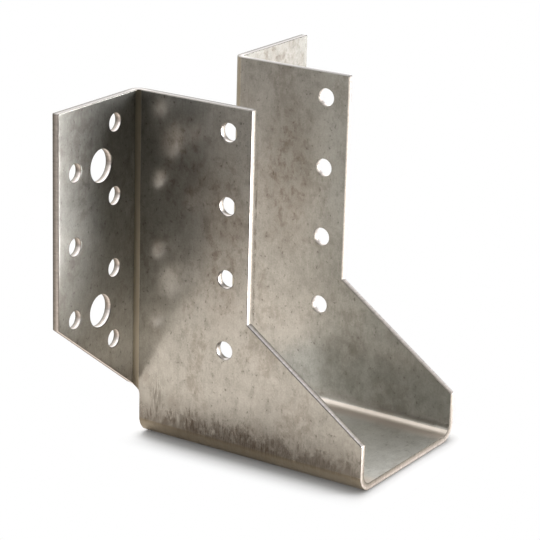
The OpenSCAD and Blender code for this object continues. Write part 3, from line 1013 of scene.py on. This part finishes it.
def square_lamp(name, place, aim, width, power):
    """A square area lamp at a place, turned to look at a point."""
    lamp = bpy.data.lights.new(name, "AREA")
    lamp.shape = "SQUARE"
    lamp.size = width
    lamp.energy = power
    made = bpy.data.objects.new(name, lamp)
    made.location = place
    made.rotation_euler = (Vector(aim) - Vector(place)).to_track_quat("-Z", "Y").to_euler()
    bpy.context.scene.collection.objects.link(made)
    return made


def photo_camera(studio):
    """The camera: its axes are the line of sight's level and upright directions, turned by the roll."""
    azimuth, elevation, roll = studio.camera_azimuth, studio.camera_elevation, studio.camera_roll
    back = Vector((math.sin(azimuth) * math.cos(elevation), -math.cos(azimuth) * math.cos(elevation),
                   math.sin(elevation)))
    level = Vector((0, 0, 1)).cross(back).normalized()
    upright = back.cross(level)
    right = level * math.cos(roll) + upright * math.sin(roll)
    up = upright * math.cos(roll) - level * math.sin(roll)
    camera = bpy.data.objects.new("camera", bpy.data.cameras.new("camera"))
    turned = Matrix((right, up, back)).transposed().to_4x4()
    camera.matrix_world = Matrix.Translation(studio.camera_place) @ turned
    camera.data.lens = studio.lens
    camera.data.sensor_width = SENSOR
    camera.data.clip_start, camera.data.clip_end = CLIP
    bpy.context.scene.collection.objects.link(camera)
    return camera


def floor_sheet(studio, sheet):
    """The floor: one square face, just under the hanger's seat."""
    corners = studio.floor_width / 2 * np.array([[-1, -1, 0], [1, -1, 0], [1, 1, 0], [-1, 1, 0]])
    mesh = bpy.data.meshes.new("floor")
    mesh.from_pydata(corners - (0, 0, FLOOR_DROP), [], [(0, 1, 2, 3)])
    mesh.materials.append(pale_floor(sheet))
    floor = bpy.data.objects.new("floor", mesh)
    bpy.context.scene.collection.objects.link(floor)
    return floor


# Operators


class HANGER_OT_sheet(bpy.types.Operator):
    """Build the folded, zinc-coated sheet in place of the CAD solid"""

    bl_idname = "hanger.sheet"
    bl_label = "Folded Sheet"

    def execute(self, context):
        """Makes the mesh, gives it the coat and the bare cut, and puts it on the hanger's body."""
        scene = context.scene
        mesh = sheet_mesh(scene.hanger_sheet, scene.hanger_cut)
        mesh.materials.append(zinc_coat(scene.hanger_finish))
        mesh.materials.append(sheared_steel(scene.hanger_finish, scene.hanger_cut))
        piece = bpy.data.objects.new("hanger_sheet", mesh)
        scene.collection.objects.link(piece)
        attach(piece, "root")
        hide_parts(NODE)
        return {"FINISHED"}


class HANGER_OT_stage(bpy.types.Operator):
    """Build the pale floor, the room's light, the lamps and the camera"""

    bl_idname = "hanger.stage"
    bl_label = "Stage"

    def execute(self, context):
        """Makes the floor and the room, hangs the lamps and sets the camera. The softbox isn't mirrored."""
        scene = context.scene
        studio = scene.hanger_studio
        floor_sheet(studio, scene.hanger_sheet)
        scene.world = bpy.data.worlds.new("room")
        room(scene.world, studio)
        key = square_lamp("softbox", studio.key_place, (0, 0, 0), studio.key_width, studio.key_power)
        key.visible_glossy = False
        aim = (0, 0, studio.side_aim)
        square_lamp("window", studio.side_place, aim, studio.side_width, studio.side_power)
        scene.camera = photo_camera(studio)
        scene.view_settings.view_transform = "Standard"
        return {"FINISHED"}


class HANGER_PT_panel(bpy.types.Panel):
    """Lists the hanger's pieces and sizes"""

    bl_idname = "HANGER_PT_panel"
    bl_label = "Joist Hanger"
    bl_space_type = "VIEW_3D"
    bl_region_type = "UI"
    bl_category = "Joist Hanger"

    def draw(self, context):
        """A button for each operator, then a box with the fields of each property group."""
        for operator in OPERATORS:
            self.layout.operator(operator.bl_idname)
        for name, group in GROUPS.items():
            box = self.layout.box()
            for field in group.__annotations__:
                box.prop(getattr(context.scene, name), field)


GROUPS = {
    "hanger_sheet": HangerSheet,
    "hanger_cut": HangerCut,
    "hanger_finish": HangerFinish,
    "hanger_studio": HangerStudio,
}
OPERATORS = (HANGER_OT_sheet, HANGER_OT_stage)


def register():
    """Registers the classes and puts each property group on the scene."""
    for made in (*GROUPS.values(), *OPERATORS, HANGER_PT_panel):
        bpy.utils.register_class(made)
    for name, group in GROUPS.items():
        setattr(bpy.types.Scene, name, PointerProperty(type=group))


def unregister():
    """Undoes what register does, in the opposite order."""
    for name in GROUPS:
        delattr(bpy.types.Scene, name)
    for made in (HANGER_PT_panel, *reversed(OPERATORS), *reversed(GROUPS.values())):
        bpy.utils.unregister_class(made)


def main():
    """Builds the piece and the stage."""
    register()
    bpy.ops.hanger.sheet()
    bpy.ops.hanger.stage()


if __name__ == "__main__":
    main()
